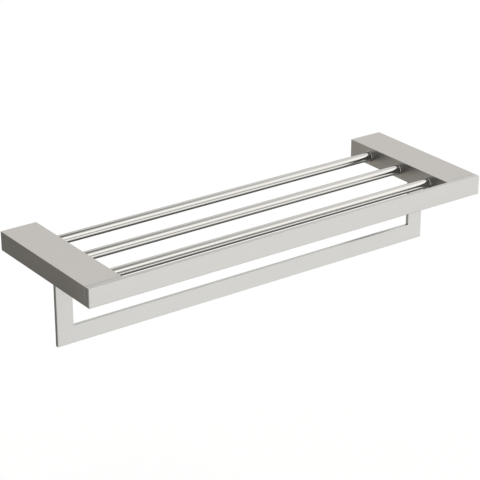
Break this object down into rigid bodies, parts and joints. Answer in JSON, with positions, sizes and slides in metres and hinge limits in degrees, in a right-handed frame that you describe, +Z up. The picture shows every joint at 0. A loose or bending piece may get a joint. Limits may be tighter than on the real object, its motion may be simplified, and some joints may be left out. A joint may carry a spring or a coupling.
{
  "type": "towel rack with shelf",
  "caption": "Wall-mounted towel rack: a shelf of round rods between box-section brackets, a flat rail across the front and a U-shaped flat towel bar hanging below.",
  "frame": {"origin": "on the wall plane, midway between the two wall mounts, at the mid-height of the housings", "axes": "+X along the rack to the right as seen from in front, +Y into the wall, +Z up; the rack stands out towards -Y"},
  "size_m": [0.6, 0.205, 0.118],
  "materials": {
    "brushed_steel": "satin brushed stainless steel, grain along each piece",
    "polished_steel": "mirror-polished stainless steel tube",
    "cast_aluminium": "as-cast, fine matt skin",
    "screw_steel": "plain stainless steel"
  },
  "bodies": {
    "root": {"left_housing": "brushed_steel", "right_housing": "brushed_steel", "front_rail": "brushed_steel", "towel_bar": "brushed_steel", "rear_rod": "polished_steel", "middle_rod": "polished_steel", "front_rod": "polished_steel", "left_rear_collar": "polished_steel", "left_middle_collar": "polished_steel", "left_front_collar": "polished_steel", "right_rear_collar": "polished_steel", "right_middle_collar": "polished_steel", "right_front_collar": "polished_steel", "left_rear_rod_plug": "screw_steel", "left_middle_rod_plug": "screw_steel", "left_front_rod_plug": "screw_steel", "right_rear_rod_plug": "screw_steel", "right_middle_rod_plug": "screw_steel", "right_front_rod_plug": "screw_steel", "left_rear_rod_screw": "screw_steel", "left_middle_rod_screw": "screw_steel", "left_front_rod_screw": "screw_steel", "right_rear_rod_screw": "screw_steel", "right_middle_rod_screw": "screw_steel", "right_front_rod_screw": "screw_steel", "left_carrier": "cast_aluminium", "right_carrier": "cast_aluminium", "left_carrier_screw_rear": "screw_steel", "left_carrier_screw_front": "screw_steel", "right_carrier_screw_rear": "screw_steel", "right_carrier_screw_front": "screw_steel", "left_lock_screw": "screw_steel", "right_lock_screw": "screw_steel", "left_rail_screw_outer": "screw_steel", "left_rail_screw_inner": "screw_steel", "right_rail_screw_outer": "screw_steel", "right_rail_screw_inner": "screw_steel", "left_wall_mount": "cast_aluminium", "right_wall_mount": "cast_aluminium", "left_mount_screw": "screw_steel", "right_mount_screw": "screw_steel"}
  },
  "joints": []
}
